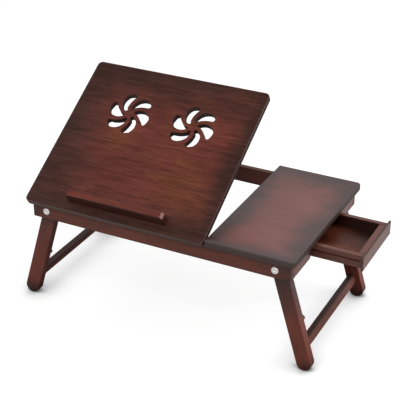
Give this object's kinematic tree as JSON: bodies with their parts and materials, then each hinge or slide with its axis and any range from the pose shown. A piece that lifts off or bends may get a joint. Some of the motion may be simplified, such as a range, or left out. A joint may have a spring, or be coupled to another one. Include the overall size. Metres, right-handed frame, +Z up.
{
  "type": "laptop stand with drawer",
  "caption": "Low folding lap desk with a tilting, vented reading panel, a stop ledge, a fixed side top over a sliding drawer, and splayed folding legs.",
  "frame": {"origin": "on the ground, centre of the part's box in X and Y, drawer open as in the rest pose", "axes": "+X along the desk towards the drawer end, +Y from the stop ledge at the front to the back, +Z up"},
  "size_m": [0.6742, 0.3454, 0.4073],
  "materials": {
    "panel_wood": "dark walnut stain, satin lacquer",
    "frame_wood": "dark walnut stain, satin lacquer",
    "drawer_wood": "dark walnut stain, thin matt lacquer",
    "dowel_wood": "stained beech dowel",
    "hinge_steel": "zinc plated",
    "bolt_steel": "satin nickel plated"
  },
  "bodies": {
    "frame": {"front_rail": "frame_wood", "back_rail": "frame_wood", "left_rail": "frame_wood", "right_rail_front": "frame_wood", "right_rail_back": "frame_wood", "middle_rail": "frame_wood", "frame_dowels": "dowel_wood", "fixed_panel": "panel_wood", "top_screws": "hinge_steel", "drawer_runner_front": "frame_wood", "drawer_runner_back": "frame_wood", "runner_screws": "hinge_steel", "hinge_leaf_rail_left": "hinge_steel", "hinge_leaf_rail_right": "hinge_steel", "hinge_pins": "hinge_steel", "hinge_screws_rail": "hinge_steel", "pivot_bolts": "bolt_steel", "pivot_nuts": "bolt_steel", "pivot_washers": "bolt_steel"},
    "tilt_panel": {"tilt_panel": "panel_wood", "ledge_bar": "frame_wood", "ledge_pegs": "dowel_wood", "hinge_leaf_panel_left": "hinge_steel", "hinge_leaf_panel_right": "hinge_steel", "hinge_screws_panel": "hinge_steel", "prop_block_left": "frame_wood", "prop_block_right": "frame_wood", "prop_pins": "hinge_steel", "prop_block_screws": "hinge_steel"},
    "prop": {"prop_arm_left": "frame_wood", "prop_arm_right": "frame_wood", "prop_foot_dowel": "dowel_wood"},
    "drawer": {"drawer_face": "drawer_wood", "drawer_front": "drawer_wood", "drawer_back": "drawer_wood", "drawer_side_front": "drawer_wood", "drawer_side_back": "drawer_wood", "drawer_bottom": "drawer_wood", "drawer_dowels": "dowel_wood", "face_dowels": "dowel_wood", "drawer_stop_pegs": "dowel_wood"},
    "left_legs": {"left_leg_front": "frame_wood", "left_leg_back": "frame_wood", "left_crossbar": "frame_wood", "left_leg_pegs": "frame_wood"},
    "right_legs": {"right_leg_front": "frame_wood", "right_leg_back": "frame_wood", "right_crossbar": "frame_wood", "right_leg_pegs": "frame_wood"}
  },
  "joints": [
    {"name": "panel_tilt", "type": "hinge", "parent": "frame", "child": "tilt_panel", "pos_m": [-0.03591, -0.16092, 0.22114], "axis": [1, 0, 0], "range_deg": [-32, 0]},
    {"name": "prop_swing", "type": "hinge", "parent": "tilt_panel", "child": "prop", "pos_m": [-0.03591, -0.03381, 0.2909], "axis": [1, 0, 0], "range_deg": [0, 64]},
    {"name": "drawer_slide", "type": "slide", "parent": "frame", "child": "drawer", "axis": [1, 0, 0], "range_m": [-0.0965, 0.045]},
    {"name": "left_legs_fold", "type": "hinge", "parent": "frame", "child": "left_legs", "pos_m": [-0.26561, -0.16812, 0.20444], "axis": [0, -1, 0], "range_deg": [0, 106.7]},
    {"name": "right_legs_fold", "type": "hinge", "parent": "frame", "child": "right_legs", "pos_m": [0.206, -0.16812, 0.20444], "axis": [0, 1, 0], "range_deg": [0, 106.7]}
  ],
  "couplings": [
    {"joint": "prop_swing", "follows": "panel_tilt", "ratio": -2}
  ]
}
